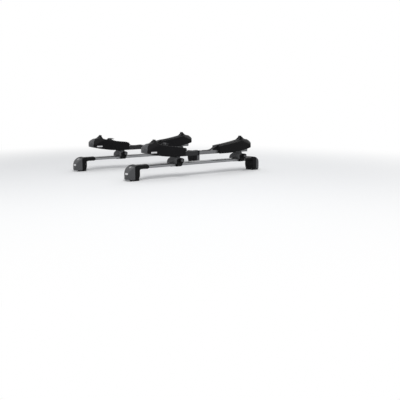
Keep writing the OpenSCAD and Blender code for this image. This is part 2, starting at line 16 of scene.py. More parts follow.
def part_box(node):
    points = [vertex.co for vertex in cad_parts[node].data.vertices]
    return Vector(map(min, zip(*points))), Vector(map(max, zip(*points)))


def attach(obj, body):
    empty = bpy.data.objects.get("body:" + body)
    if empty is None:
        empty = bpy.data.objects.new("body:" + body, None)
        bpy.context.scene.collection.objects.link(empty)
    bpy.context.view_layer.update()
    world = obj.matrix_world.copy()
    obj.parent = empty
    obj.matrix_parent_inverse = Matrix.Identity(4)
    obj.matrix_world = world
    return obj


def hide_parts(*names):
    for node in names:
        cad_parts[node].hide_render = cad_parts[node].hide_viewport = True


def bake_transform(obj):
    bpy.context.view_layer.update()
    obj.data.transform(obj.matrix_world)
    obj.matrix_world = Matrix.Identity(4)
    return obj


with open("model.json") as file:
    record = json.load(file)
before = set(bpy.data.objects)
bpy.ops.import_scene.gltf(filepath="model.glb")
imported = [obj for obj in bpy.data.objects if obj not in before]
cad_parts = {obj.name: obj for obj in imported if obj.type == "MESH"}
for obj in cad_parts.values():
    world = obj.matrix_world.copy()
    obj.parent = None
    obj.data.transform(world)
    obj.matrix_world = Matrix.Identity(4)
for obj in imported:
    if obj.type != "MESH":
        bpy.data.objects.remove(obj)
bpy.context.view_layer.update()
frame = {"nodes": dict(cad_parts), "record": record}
record = frame["record"]

# %% [markdown]
# The photograph looks down a little at the carrier from the front left. A camera could be turned by eye,
# but this one was fitted to the places of the feet, bars and cradles, so each piece falls on its own place
# in the picture. Its focal length came out in the picture's pixels, and the sensor's width turns it into
# a lens.

# %% The camera
PICTURE = 400
FOCAL_PIXELS = 590.6
SENSOR = 36.0
YAW = math.radians(38.695)
PITCH = math.radians(9.311)
CAMERA_X = -2.5626
CAMERA_BEFORE = 3.2347
CAMERA_Z = 0.4950
FAR_CLIP = 200
ROWS = {row: sum(corner[1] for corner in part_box(row + "_crossbar")) / 2 for row in ("front", "rear")}
SIDES = ("left", "right")


def linked(name, data):
    """A new object in the scene that holds the data."""
    item = bpy.data.objects.new(name, data)
    bpy.context.scene.collection.objects.link(item)
    return item


eye = bpy.data.cameras.new("eye")
eye.sensor_width = SENSOR
eye.lens = FOCAL_PIXELS / PICTURE * SENSOR
eye.clip_end = FAR_CLIP
camera = linked("camera", eye)
camera.location = (CAMERA_X, ROWS["front"] - CAMERA_BEFORE, CAMERA_Z)
camera.rotation_euler = (math.pi / 2 - PITCH, 0, -YAW)
bpy.context.scene.camera = camera
bpy.context.scene.view_settings.view_transform = "Standard"
print("lens", round(eye.lens, 2), "mm; rows at", ROWS)

# %% [markdown]
# A shader is a sum of small patterns. Written as nodes it is hard to read, so a little class lets a
# socket stand in ordinary sums: adding or multiplying two of them makes the Math node that does it. Every
# other node comes from one call that takes its type, its settings and what goes into its sockets.

# %% A socket that can be used in sums
class Wire:
    def __init__(self, tree, link=None):
        self.tree = tree
        self.link = link

    def node(self, kind, settings, sockets, out=0):
        made = self.tree.nodes.new(kind)
        for key, value in settings.items():
            setattr(made, key, value)
        for key, value in sockets.items():
            if isinstance(value, Wire):
                self.tree.links.new(value.link, made.inputs[key])
            else:
                made.inputs[key].default_value = value
        return Wire(self.tree, made.outputs[out])

    def math(self, operation, *values):
        return self.node("ShaderNodeMath", {"operation": operation}, dict(enumerate(values)))

    def __add__(self, other):
        return self.math("ADD", self, other)

    def __sub__(self, other):
        return self.math("SUBTRACT", self, other)

    def __rsub__(self, other):
        return self.math("SUBTRACT", other, self)

    def __mul__(self, other):
        return self.math("MULTIPLY", self, other)

    def sine(self):
        return self.math("SINE", self)

    def size(self):
        return self.math("ABSOLUTE", self)

    def highest(self, other):
        return self.math("MAXIMUM", self, other)

    def between(self, low, high):
        """0 below low, 1 above high and a smooth step between."""
        return self.node("ShaderNodeMapRange", {"interpolation_type": "SMOOTHSTEP"},
                         {"Value": self, "From Min": low, "From Max": high})

    def noise(self, scale, detail, stretch=(1, 1, 1)):
        place = self.node("ShaderNodeMapping", {}, {"Vector": self, "Scale": stretch})
        return self.node("ShaderNodeTexNoise", {}, {"Vector": place, "Scale": scale, "Detail": detail})

    def bump(self, strength, distance, normal):
        return self.node("ShaderNodeBump", {}, {"Height": self, "Strength": strength,
                                               "Distance": distance, "Normal": normal})

    def tint(self, low, high):
        """A colour that turns from low, a colour or a wire, to high where this value rises."""
        first = low if isinstance(low, Wire) else (*low, 1)
        return self.node("ShaderNodeMix", {"data_type": "RGBA"}, {0: self, 6: first, 7: (*high, 1)}, out=2)


def new_finish(name, metallic=0.0, specular=0.5):
    """A fresh material: the material, its Principled shader and the place on the object."""
    material = bpy.data.materials.new(name)
    material.use_nodes = True
    shader = material.node_tree.nodes["Principled BSDF"]
    shader.inputs["Metallic"].default_value = metallic
    shader.inputs["Specular IOR Level"].default_value = specular
    place = Wire(material.node_tree).node("ShaderNodeTexCoord", {}, {}, out="Object")
    return material, shader, place


def plug(shader, **wires):
    """Joins wires to the shader's sockets, named with underscores for blanks."""
    for key, wire in wires.items():
        wire.tree.links.new(wire.link, shader.inputs[key.replace("_", " ")])


def soft_edge(place, radius):
    """The surface's direction as if each edge were rounded by the radius."""
    return place.node("ShaderNodeBevel", {"samples": 4}, {"Radius": radius})


print("shader helpers ready")

# %% [markdown]
# The moulded pieces are nylon with a spark-eroded grain: black for the feet, housings and jaws, mid grey
# for covers, caps and domes. A real moulding is never one flat colour. It has a slow drift of tone, a
# fine grain that breaks up the gloss, and a little pale dust on it, so all three go in.

# %% Moulded plastics
GRAIN_SCALE = 1100
GRAIN_DEPTH = 0.0003
DRIFT_SCALE = 16
SCUFF_SCALE = 55
SCUFF_STRETCH = (1, 1, 2.5)
DUST_SHARE = 0.45
DUST_GAIN = 1.2
DUST_LIFT = 0.004
MOULDED_EDGE = 0.0007
BLACK = ((0.0034, 0.0034, 0.0039), (0.0062, 0.0062, 0.0070))
KNOB_BLACK = ((0.0034, 0.0034, 0.0039), (0.0060, 0.0060, 0.0067))
GREY = ((0.058, 0.059, 0.062), (0.078, 0.079, 0.083))


def moulding(name, dark, light, roughness, grain=0.22, specular=0.09):
    material, shader, place = new_finish(name, specular=specular)
    drift = place.noise(DRIFT_SCALE, 3)
    fine = place.noise(GRAIN_SCALE, 1)
    scuff = place.noise(SCUFF_SCALE, 6, SCUFF_STRETCH).between(0.60, 0.80)
    dusty = tuple(channel * DUST_GAIN + DUST_LIFT for channel in light)
    plug(shader, Base_Color=(scuff * DUST_SHARE).tint(drift.tint(dark, light), dusty),
         Roughness=(drift - 0.5) * 0.14 + (fine - 0.5) * 0.10 + scuff * 0.06 + roughness,
         Normal=fine.bump(grain, GRAIN_DEPTH, soft_edge(place, MOULDED_EDGE)))
    return material


black_plastic = moulding("black_plastic", *BLACK, 0.46)
grey_plastic = moulding("grey_plastic", *GREY, 0.42, grain=0.16, specular=0.25)
knob_plastic = moulding("knob_plastic", *KNOB_BLACK, 0.40)
print("moulded finishes:", black_plastic.name, grey_plastic.name, knob_plastic.name)

# %% [markdown]
# The crossbars and tubes are drawn aluminium. Drawing leaves hair lines along the length, and anodising
# gives a satin skin over them. The lines come from noise that is stretched a thousand times along X,
# which needs no map of the surface and runs on unbroken round the section. The tones are set low with
# painted light in them: a painted dark reflection on the bars, painted shade from the board on the tubes.

# %% Drawn aluminium
HAIR_STRETCH = (1.5, 1500, 1500)
HAIR_DEPTH = 0.0001
DRAWN_EDGE = 0.0004
# Painted reflection: the bars' tones sit far below bare aluminium, darkened to stand in for a dark roof
# mirrored in them.
BAR_TONES_WITH_PAINTED_REFLECTION = ((0.26, 0.266, 0.276), (0.34, 0.346, 0.357))
# Painted shade: the tubes' tones are lowered to stand in for the shade that the board casts on them; the
# outer tube's tones are darker than the inner tube's.
LIGHT_TUBE_TONES_WITH_PAINTED_SHADE = ((0.165, 0.168, 0.174), (0.215, 0.218, 0.225))
DARK_TUBE_TONES_WITH_PAINTED_SHADE = ((0.021, 0.0215, 0.023), (0.033, 0.0335, 0.0355))


def drawn(name, dark, light, roughness, metallic=1.0):
    material, shader, place = new_finish(name, metallic=metallic)
    hair = place.noise(1.0, 4, HAIR_STRETCH)
    drift = place.noise(7, 3, (0.4, 1, 1))
    spots = place.noise(90, 4, (0.3, 1, 1)).between(0.62, 0.78)
    plug(shader, Base_Color=(hair * 0.35 + drift * 0.65).tint(dark, light),
         Roughness=(hair - 0.5) * 0.16 + spots * 0.08 + roughness,
         Normal=hair.bump(0.12, HAIR_DEPTH, soft_edge(place, DRAWN_EDGE)))
    return material


# The bars' finish carries a painted dark reflection in its low tones.
bar_metal_painted_reflection = drawn("bar_metal_painted_reflection", *BAR_TONES_WITH_PAINTED_REFLECTION, 0.36)
# The tubes' finishes carry painted shade from the board in their lowered tones.
light_tube = drawn("light_tube_painted_shade", *LIGHT_TUBE_TONES_WITH_PAINTED_SHADE, 0.40)
dark_tube = drawn("dark_tube_painted_shade", *DARK_TUBE_TONES_WITH_PAINTED_SHADE, 0.42, metallic=0.7)
print("metals:", bar_metal_painted_reflection.name, light_tube.name, dark_tube.name)

# %% [markdown]
# Small hardware is zinc-plated steel, which is bright with a cloudy tone. The lock's face is turned, so
# its gloss is higher. The buckle is steel under a black e-coat.

# %% Hardware metals
CLOUD_SCALE = 120
PLATING_SCALE = 1600
PLATED_EDGE = 0.0003
ZINC_TONES = ((0.40, 0.40, 0.41), (0.56, 0.56, 0.57))
LOCK_TONES = ((0.34, 0.34, 0.35), (0.46, 0.46, 0.47))
COAT_TONES = ((0.018, 0.018, 0.020), (0.034, 0.034, 0.036))


def plated(name, dark, light, roughness, metallic=1.0):
    material, shader, place = new_finish(name, metallic=metallic)
    cloud = place.noise(CLOUD_SCALE, 5)
    fine = place.noise(PLATING_SCALE, 2)
    plug(shader, Base_Color=cloud.tint(dark, light), Roughness=(cloud - 0.5) * 0.25 + roughness,
         Normal=fine.bump(0.08, 0.0001, soft_edge(place, PLATED_EDGE)))
    return material


zinc = plated("zinc_plate", *ZINC_TONES, 0.38)
lock_metal = plated("lock_metal", *LOCK_TONES, 0.32)
buckle_coat = plated("buckle_coat", *COAT_TONES, 0.42, metallic=0.5)
print("hardware:", zinc.name, lock_metal.name, buckle_coat.name)

# %% [markdown]
# Rubber is darker and duller than the plastics, with a dry bloom in patches. It serves for the strips in
# the bars' slots, the foot pads and the cradles' pads.

# %% Rubber
BLOOM_SCALE = 38
PORE_SCALE = 1400
PAD_TONES = ((0.0075, 0.0075, 0.0082), (0.0140, 0.0140, 0.0150))
STRIP_TONES = ((0.009, 0.009, 0.0095), (0.016, 0.016, 0.0166))


def rubber(name, dark, light, roughness, edge):
    material, shader, place = new_finish(name, specular=0.2)
    bloom = place.noise(BLOOM_SCALE, 5).between(0.35, 0.75)
    fine = place.noise(PORE_SCALE, 2)
    plug(shader, Base_Color=bloom.tint(dark, light), Roughness=bloom * 0.12 + roughness,
         Normal=fine.bump(0.3, 0.0003, soft_edge(place, edge)))
    return material


pad_rubber = rubber("pad_rubber", *PAD_TONES, 0.68, edge=0.0008)
strip_rubber = rubber("strip_rubber", *STRIP_TONES, 0.62, edge=0.0003)
print("rubbers:", pad_rubber.name, strip_rubber.name)

# %% [markdown]
# The strap is 25 mm polyester webbing. Its face shows chevron ribs about two millimetres apart that run
# across the strap, and two plain selvedges. The pattern has to follow the strap over the horns, so it
# reads the piece's own UV map, which holds metres along the strap and across it. Where the strap is
# doubled, two rows of stitches run along it, which the same map places.

# %% Webbing
WEBBING_WIDTH = 0.025
RIB = 0.0021
CORD = 0.0016
CHEVRON = 1.1
SELVEDGE = (0.42 * WEBBING_WIDTH, 0.46 * WEBBING_WIDTH)
SEWN_AT = 0.0093
STITCH = 0.0036
THREAD = 0.0006
THREAD_TONE = (0.05, 0.05, 0.053)
CLOTH_TONES = ((0.006, 0.006, 0.0066), (0.018, 0.018, 0.0195))
CLOTH_MAP = "cloth"


def webbing(name, dark, light, thread=None):
    material, shader, place = new_finish(name, specular=0.2)
    shader.inputs["Sheen Weight"].default_value = 0.12
    shader.inputs["Sheen Roughness"].default_value = 0.5
    uv = place.node("ShaderNodeUVMap", {"uv_map": CLOTH_MAP}, {})
    along = uv.node("ShaderNodeSeparateXYZ", {}, {0: uv}, out=0)
    across = uv.node("ShaderNodeSeparateXYZ", {}, {0: uv}, out=1)
    cords = (across * (math.tau / CORD)).sine()
    ribs = (along * (math.tau / RIB) + cords * CHEVRON).sine()
    weave = (ribs * 0.5 + cords * 0.35) * (1 - across.size().between(*SELVEDGE) * 0.7)
    fade = place.noise(25, 4)
    colour = (fade * 0.7 + weave * 0.22 + 0.1).tint(dark, light)
    height = weave
    if thread is not None:
        off_row = (across.size() - SEWN_AT).size()
        on_row = 1 - off_row.between(THREAD * 0.6, THREAD)
        stitches = on_row * (along * (math.tau / STITCH)).sine().between(-0.5, 0.1)
        colour = stitches.tint(colour, thread)
        height = weave + stitches * 1.5
    plug(shader, Base_Color=colour, Roughness=weave * 0.08 + 0.78,
         Normal=height.bump(0.55, 0.0005, soft_edge(place, 0.0003)))
    return material


black_webbing = webbing("black_webbing", *CLOTH_TONES)
sewn_webbing = webbing("sewn_webbing", *CLOTH_TONES, thread=THREAD_TONE)
print("cloth:", black_webbing.name, sewn_webbing.name)

# %% [markdown]
# Every node of the model gets the finish of its slot in the record. The pieces that stand for nodes, the
# straps apart, take their finish, slot and body from the same three tables, so such a piece can't end up
# on another body than its node.

# %% Give each node its finish
FINISHES = {"bar": bar_metal_painted_reflection, "dark_tube": dark_tube, "light_tube": light_tube,
            "black_plastic": black_plastic, "grey_plastic": grey_plastic, "knob": knob_plastic,
            "pad": pad_rubber, "rubber": strip_rubber, "webbing": black_webbing,
            "buckle": buckle_coat, "lock": lock_metal, "steel": zinc}
SLOT_OF = {part["node"]: part["material_slot"] for part in record["subparts"]}
BODY_OF = {node: body for body, nodes in record["behaviour"]["bodies"].items() for node in nodes}
for name, node in frame["nodes"].items():
    node.data.materials.clear()
    node.data.materials.append(FINISHES[SLOT_OF[name]])
print("dressed", len(frame["nodes"]), "nodes")

# %% [markdown]
# The studio is a pale floor that fades into a white surround, so no horizon cuts through the picture.
# One broad lamp high on the camera's side gives the soft shadow under the bars, and a wide weak one on
# the other side keeps the far flanks readable.

# %% Floor, surround and lamps
WHITE = (1, 1, 1, 1)
SKY_TINT = (0.95, 0.97, 1, 1)
SKY_STRENGTH = 0.55
FLOOR_GREY = (0.86, 0.86, 0.86, 1)
FLOOR_RADIUS = 30
FLOOR_FADE = (1.0, 3.0)
LAMP_AIM = Vector((0, 0, 0.1))
LAMPS = {"key": {"place": (-1.6, -2.2, 3.6), "size": 2.4, "power": 92},
         "fill": {"place": (2.8, 1.2, 2.2), "size": 2.6, "power": 24}}


def as_mesh(bm, name):
    """The bmesh as a mesh of that name; the bmesh is freed."""
    mesh = bpy.data.meshes.new(name)
    bm.to_mesh(mesh)
    bm.free()
    return mesh


def surround():
    world = bpy.data.worlds.new("surround")
    world.use_nodes = True
    tree = world.node_tree
    base = Wire(tree)
    camera_ray, glossy_ray, through_ray = (
        base.node("ShaderNodeLightPath", {}, {}, out=name)
        for name in ("Is Camera Ray", "Is Glossy Ray", "Is Transmission Ray"))
    seen = camera_ray.highest(glossy_ray.highest(through_ray))
    sky = base.node("ShaderNodeBackground", {}, {"Color": SKY_TINT, "Strength": SKY_STRENGTH})
    white = base.node("ShaderNodeBackground", {}, {"Color": WHITE, "Strength": 1.0})
    both = base.node("ShaderNodeMixShader", {}, {0: seen, 1: sky, 2: white})
    tree.links.new(both.link, tree.nodes["World Output"].inputs["Surface"])
    bpy.context.scene.world = world


def pale_floor():
    bm = bmesh.new()
    bmesh.ops.create_circle(bm, cap_ends=True, segments=96, radius=FLOOR_RADIUS)
    mesh = as_mesh(bm, "floor")
    material, shader, place = new_finish("floor_paint", specular=0.2)
    shader.inputs["Base Color"].default_value = FLOOR_GREY
    shader.inputs["Roughness"].default_value = 0.9
    away = place.node("ShaderNodeVectorMath", {"operation": "LENGTH"}, {0: place}, out=1)
    seen = place.node("ShaderNodeLightPath", {}, {}, out="Is Camera Ray")
    white = place.node("ShaderNodeEmission", {}, {"Color": WHITE, "Strength": 1.0})
    lit = Wire(place.tree, shader.outputs[0])
    faded = place.node("ShaderNodeMixShader", {}, {0: away.between(*FLOOR_FADE) * seen, 1: lit, 2: white})
    place.tree.links.new(faded.link, place.tree.nodes["Material Output"].inputs["Surface"])
    mesh.materials.append(material)
    linked("floor", mesh)


def lamp(name, place, size, power):
    light = bpy.data.lights.new(name, "AREA")
    light.shape = "DISK"
    light.size = size
    light.energy = power
    holder = linked(name, light)
    holder.location = place
    holder.rotation_euler = (LAMP_AIM - Vector(place)).to_track_quat("-Z", "Y").to_euler()


surround()
pale_floor()
for name, plan in LAMPS.items():
    lamp(name, **plan)
print("studio ready with", len(LAMPS), "lamps")

# %% [markdown]
# Each finished piece is stored the same way: a mesh whose place is in its points, riding on the body that
# carries it. The rear row is the front row again, so the cast shells and the plates are made once and
# moved across. Round shading stops at edges that turn by more than a set angle, or flats beside a curve
# would look dented.

# %% Put a piece in place
ROW_SHIFT = Vector((0, ROWS["rear"] - ROWS["front"], 0))
SHARP = math.radians(32)
SAME_POINT = 1e-5


def settle(name, mesh, material, body):
    """The mesh as a piece on its body."""
    piece = linked(name, mesh)
    mesh.materials.append(material)
    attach(piece, body)
    return piece


def stand_in(node, ending, mesh):
    """The mesh as the piece that stands for a node."""
    piece = settle(node + ending, mesh, FINISHES[SLOT_OF[node]], BODY_OF[node])
    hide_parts(node)
    return piece


def rear_copy(mesh, name):
    copy = mesh.copy()
    copy.name = name
    copy.transform(Matrix.Translation(ROW_SHIFT))
    return copy


def smooth_faces(bm, sharp=SHARP):
    """Round shading everywhere but across edges that turn more than the angle."""
    for face in bm.faces:
        face.smooth = True
    for edge in bm.edges:
        edge.smooth = len(edge.link_faces) == 2 and edge.calc_face_angle(0) < sharp


def merged(node):
    """A bmesh of a node's solid, with its loose triangles joined."""
    bm = bmesh.new()
    bm.from_mesh(frame["nodes"][node].data)
    bmesh.ops.remove_doubles(bm, verts=bm.verts, dist=SAME_POINT)
    return bm


print("rows are", round(ROW_SHIFT.y * 1000, 1), "mm apart")

# %% [markdown]
# The housings, end caps, feet and clamps are injection mouldings, whose corners run into each other in
# soft radii. Bevelling the edges of such cut solids one by one fails where three curves meet. Here a copy
# of the solid is cast again as a fine even net, smoothed a few times, and thinned where it is flat, which
# rounds every corner by a millimetre or two, as a mould does. The caps and the feet are rounder still:
# their points are eased on, save near the seam with their neighbour, which has to stay tight.

# %% Cast a moulded shell again with soft corners
SEAM_KEEP = 0.004
EASE = 0.5
SHELLS = {
    "housing": {"voxel": 0.0008, "rounds": 9, "keep": 0.11},
    "end_cap": {"voxel": 0.0008, "rounds": 7, "keep": 0.2, "more": 30, "beside": "housing"},
    "foot_cover": {"voxel": 0.0011, "rounds": 3, "keep": 0.35, "more": 40, "beside": "foot_body"},
    "foot_body": {"voxel": 0.0012, "rounds": 4, "keep": 0.38, "more": 14, "beside": "foot_cover"},
    "clamp_saddle": {"voxel": 0.0013, "rounds": 3, "keep": 0.5},
    "clamp_jaw": {"voxel": 0.0011, "rounds": 3, "keep": 0.5}}


def worked(mesh, *steps):
    """A new mesh: the given one after some modifiers, each a kind and its settings."""
    blank = linked("blank", mesh)
    for kind, settings in steps:
        step = blank.modifiers.new(kind, kind)
        for key, value in settings.items():
            setattr(step, key, value)
    bpy.context.view_layer.update()
    done = bpy.data.meshes.new_from_object(blank.evaluated_get(bpy.context.evaluated_depsgraph_get()))
    bpy.data.objects.remove(blank)
    return done


def skin_of(mesh):
    """The mesh's surface, ready to be measured."""
    points = [vert.co for vert in mesh.vertices]
    return BVHTree.FromPolygons(points, [face.vertices[:] for face in mesh.polygons])


def eased_on(mesh, rounds, neighbour):
    """Smooths the points that lie further than the seam's width from the neighbouring node."""
    beside = skin_of(frame["nodes"][neighbour].data)
    bm = bmesh.new()
    bm.from_mesh(mesh)
    free = [vert for vert in bm.verts if beside.find_nearest(vert.co, SEAM_KEEP)[0] is None]
    for _ in range(rounds):
        bmesh.ops.smooth_vert(bm, verts=free, factor=EASE, use_axis_x=True, use_axis_y=True, use_axis_z=True)
    bm.to_mesh(mesh)
    bm.free()


def cast_again(corner, part, voxel, rounds, keep, more=0, beside=None):
    """A soft copy of the part at a corner, such as front_left."""
    node = f"{corner}_{part}"
    net = worked(as_mesh(merged(node), node + "_cast"), ("REMESH", {"mode": "VOXEL", "voxel_size": voxel}),
                 ("SMOOTH", {"factor": EASE, "iterations": rounds}))
    if more:
        eased_on(net, more, f"{corner}_{beside}")
    cast = worked(net, ("DECIMATE", {"ratio": keep}))
    for face in cast.polygons:
        face.use_smooth = True
    print(node, "cast with", len(cast.polygons), "faces")
    return cast


shells = {}
for part, plan in SHELLS.items():
    for side in SIDES:
        front, rear = (f"{row}_{side}_{part}" for row in ROWS)
        shells[front] = cast_again(f"front_{side}", part, **plan)
        rear_shell = rear_copy(shells[front], rear + "_cast")
        stand_in(front, "_shell", shells[front])
        stand_in(rear, "_shell", rear_shell)

# %% [markdown]
# The left foot covers and housings each have a place for a nameplate. It holds a bare satin plate, thin
# and with round corners. A stiff plate would lift off a round cover, so a grid of points is held before
# the shell, facing the way that the plate looks, and every point is pushed back until it meets the shell.

# %% The bare plates
PLATE_THICK = 0.0007
PLATE_EDGE = 0.6
PLATE_ROUND = 0.0022
PLATE_GRID = (30, 14)
PLATE_TONES = ((0.56, 0.56, 0.57), (0.68, 0.68, 0.69))
RIM_AT = 0.999
FOOT_PLATE_Y = ROWS["front"] - 0.007
FOOT_PLATE_Z = 0.0475
HOUSING_PLATE_X = -0.389
HOUSING_PLATE_Z = 0.1765
PLATES = {
    "foot_cover": {"before": Vector((-1, FOOT_PLATE_Y, FOOT_PLATE_Z)), "outwards": Vector((-1, 0, 0)),
                   "width": 0.030, "height": 0.0105},
    "housing": {"before": Vector((HOUSING_PLATE_X, -1, HOUSING_PLATE_Z)), "outwards": Vector((0, -1, 0)),
                "width": 0.046, "height": 0.0100}}


def slab(columns, rows):
    """A closed slab of two grids whose sides run from -1 to 1, and the points of its upper grid."""
    bm = bmesh.new()
    bmesh.ops.create_grid(bm, x_segments=columns, y_segments=rows, size=1.0)
    grown = bmesh.ops.extrude_face_region(bm, geom=list(bm.faces))
    return bm, {item for item in grown["geom"] if isinstance(item, bmesh.types.BMVert)}


def rounded(a, b, half_a, half_b):
    """A point of a rectangle, drawn in where it lies outside the round corners."""
    over_a = abs(a) - (half_a - PLATE_ROUND)
    over_b = abs(b) - (half_b - PLATE_ROUND)
    out = math.hypot(over_a, over_b)
    if min(over_a, over_b) <= 0 or out <= PLATE_ROUND:
        return a, b
    pull = PLATE_ROUND / out
    return (math.copysign(half_a - PLATE_ROUND + over_a * pull, a),
            math.copysign(half_b - PLATE_ROUND + over_b * pull, b))


def bare_plate(name, shell, before, outwards, width, height):
    skin = skin_of(shell)
    up = Vector((0, 0, 1))
    aside = up.cross(outwards)
    bm, top = slab(*PLATE_GRID)
    for vert in bm.verts:
        a, b = rounded(vert.co.x * width / 2, vert.co.y * height / 2, width / 2, height / 2)
        at_rim = max(abs(vert.co.x), abs(vert.co.y)) > RIM_AT
        start = before + aside * a + up * b
        lift = (PLATE_THICK * (PLATE_EDGE if at_rim else 1)) if vert in top else -PLATE_THICK
        vert.co = skin.ray_cast(start, -outwards)[0] + outwards * lift
    bmesh.ops.recalc_face_normals(bm, faces=bm.faces)
    smooth_faces(bm)
    return as_mesh(bm, name)


plate_metal = plated("plate_metal", *PLATE_TONES, 0.45, metallic=0.6)
for part, plan in PLATES.items():
    front_plate = bare_plate(part + "_plate", shells[f"front_left_{part}"], **plan)
    rear_plate = rear_copy(front_plate, part + "_rear_plate")
    for row, mesh in zip(ROWS, (front_plate, rear_plate)):
        settle(f"{row}_left_{part}_plate", mesh, plate_metal, BODY_OF[f"{row}_left_{part}"])
    print(part, "plate at", [round(c, 4) for c in front_plate.vertices[0].co])

# %% [markdown]
# Bars, tubes, knobs and hardware have crisp edges and true curves. Casting them again would blur those, so
# a merged copy of each keeps the exact form and is shaded round across its small facets, and the finish
# itself softens the edges.

# %% Shade the crisp pieces round
FLAT = math.radians(0.5)
CRISP_ROW = ("crossbar", "slot_strip", "foot_pads", "outer_tube", "inner_tube", "tube_glide",
             "strap_buckle", "buckle_lever")
CRISP_SIDE = ("foot_lock", "clamp_knob", "rail_claw")
CRISP_BOTH = ("foot_bolts", "buckle_pins")


def crisp(node):
    bm = merged(node)
    bmesh.ops.dissolve_limit(bm, angle_limit=FLAT, verts=bm.verts, edges=bm.edges)
    smooth_faces(bm)
    return as_mesh(bm, node + "_crisp")


crisp_nodes = [f"{row}_{part}" for row in ROWS for part in CRISP_ROW]
crisp_nodes += [f"{row}_{side}_{part}" for row in ROWS for side in SIDES for part in CRISP_SIDE]
crisp_nodes += CRISP_BOTH
for node in crisp_nodes:
    stand_in(node, "_crisp", crisp(node))
print("crisp pieces:", len(crisp_nodes))

# %% [markdown]
# Each cradle's crown carries a soft rubber pad, let into the housing and standing two millimetres proud.
# Cross ribs grip the load, and a plain lane is left for the strap. A pad is one sheet that follows the
# crown, so it starts as a fine grid, is extruded to a closed slab, and every point of its top is then
# lowered by the grooves and by the round rim. The rows of points lie closer together near the rim.

# %% The crown and the ribbed pads
LEFT_HORN = -0.353
BETWEEN_HORNS = 0.752
RIGHT_HORN = LEFT_HORN + BETWEEN_HORNS
HORNS = {"left": (LEFT_HORN, -1), "right": (RIGHT_HORN, 1)}
HOUSING_IN = 0.223
CROWN_LOW = 0.195
CROWN_SLOPE = 0.10
CROWN_CURL = 0.0114
PAD_PROUD = 0.002
PAD_UNDER = 0.0029
PAD_FROM = -0.2107
PAD_TO = -0.0073
PAD_HALF = 0.0367
PAD_RIM = 0.0022
PAD_GRID = (240, 28)
PAD_SHARP = math.radians(50)
RIB_PITCH = 0.011
GROOVE_HALF = 0.0019
GROOVE_DEPTH = 0.0019
GROOVE_ENDS = (0.004, 0.007)
LANE_HALF = 0.0145
LANE_FADE = 0.003


def crown(v):
    """The height of a housing's crown at a distance outwards from its horn's inner face."""
    run = v + HOUSING_IN
    return CROWN_LOW + CROWN_SLOPE * run + CROWN_CURL * (run / HOUSING_IN) ** 2


def eased(x, low, high):
    """0 below low, 1 above high and a smooth step between."""
    t = min(1.0, max(0.0, (x - low) / (high - low)))
    return t * t * (3 - 2 * t)


def groove(v, y):
    """How deep a pad's cross groove is at a point; none in the strap's lane or near the rim."""
    beside = abs((v - PAD_FROM) % RIB_PITCH - RIB_PITCH / 2)
    cut = 1 - eased(beside, GROOVE_HALF * 0.5, GROOVE_HALF)
    ends = eased(min(v - PAD_FROM, PAD_TO - v), *GROOVE_ENDS)
    return GROOVE_DEPTH * cut * ends * eased(abs(y), LANE_HALF, LANE_HALF + LANE_FADE)


def rim(v, y):
    """How far the pad's rounded rim drops at a point."""
    inside = min(v - PAD_FROM, PAD_TO - v, PAD_HALF - abs(y))
    short = max(0.0, PAD_RIM - inside)
    return PAD_RIM - math.sqrt(max(0.0, PAD_RIM ** 2 - short ** 2))


def ribbed_pad(name, horn, outwards, row_y):
    bm, top = slab(*PAD_GRID)
    for vert in bm.verts:
        v = PAD_FROM + (PAD_TO - PAD_FROM) * (vert.co.x + 1) / 2
        y = PAD_HALF * math.sin(vert.co.y * math.pi / 2)
        height = PAD_PROUD - groove(v, y) - rim(v, y) if vert in top else -PAD_UNDER
        vert.co = (horn + outwards * v, row_y + y, crown(v) + height)
    bmesh.ops.recalc_face_normals(bm, faces=bm.faces)
    smooth_faces(bm, PAD_SHARP)
    return as_mesh(bm, name)


for row, row_y in ROWS.items():
    for side, (horn, outwards) in HORNS.items():
        node = f"{row}_{side}_pad"
        mesh = ribbed_pad(node + "_ribbed", horn, outwards, row_y)
        stand_in(node, "_ribbed", mesh)
        print(node, "has", len(mesh.polygons), "faces")

# %% [markdown]
# A plain grey disc closes the front of every knob. It is like a coin with a raised border: a circle is
# extruded, its front edge bevelled, and a smaller circle inset and drawn back as a shallow dish.

# %% The discs in the knobs' faces
DISC_RADIUS = 0.0102
DISC_DEPTH = 0.0019
DISC_BEVEL = 0.0008
DISC_BORDER = 0.0022
DISH_WALL = 0.0006
DISH = 0.0006
DISC_SUNK = 0.0001


def disc(name, centre, front):
    bm = bmesh.new()
    bmesh.ops.create_circle(bm, cap_ends=True, segments=48, radius=DISC_RADIUS)
    grown = bmesh.ops.extrude_face_region(bm, geom=list(bm.faces))
    raised = [item for item in grown["geom"] if isinstance(item, bmesh.types.BMVert)]
    bmesh.ops.translate(bm, verts=raised, vec=(0, 0, DISC_DEPTH))
    edges = [edge for edge in bm.edges if all(vert.co.z > DISC_DEPTH / 2 for vert in edge.verts)]
    bmesh.ops.bevel(bm, geom=edges, offset=DISC_BEVEL, segments=4, profile=0.5, affect="EDGES", material=-1)
    cap = max(bm.faces, key=lambda face: (round(face.calc_center_median().z, 5), face.calc_area()))
    bmesh.ops.inset_individual(bm, faces=[cap], thickness=DISC_BORDER, depth=0)
    bmesh.ops.inset_individual(bm, faces=[cap], thickness=DISH_WALL, depth=-DISH)
    bmesh.ops.rotate(bm, verts=bm.verts, cent=(0, 0, 0), matrix=Matrix.Rotation(math.pi / 2, 3, "X"))
    bmesh.ops.translate(bm, verts=bm.verts, vec=(centre.x, front + DISC_DEPTH, centre.z))
    bmesh.ops.recalc_face_normals(bm, faces=bm.faces)
    smooth_faces(bm)
    return as_mesh(bm, name)


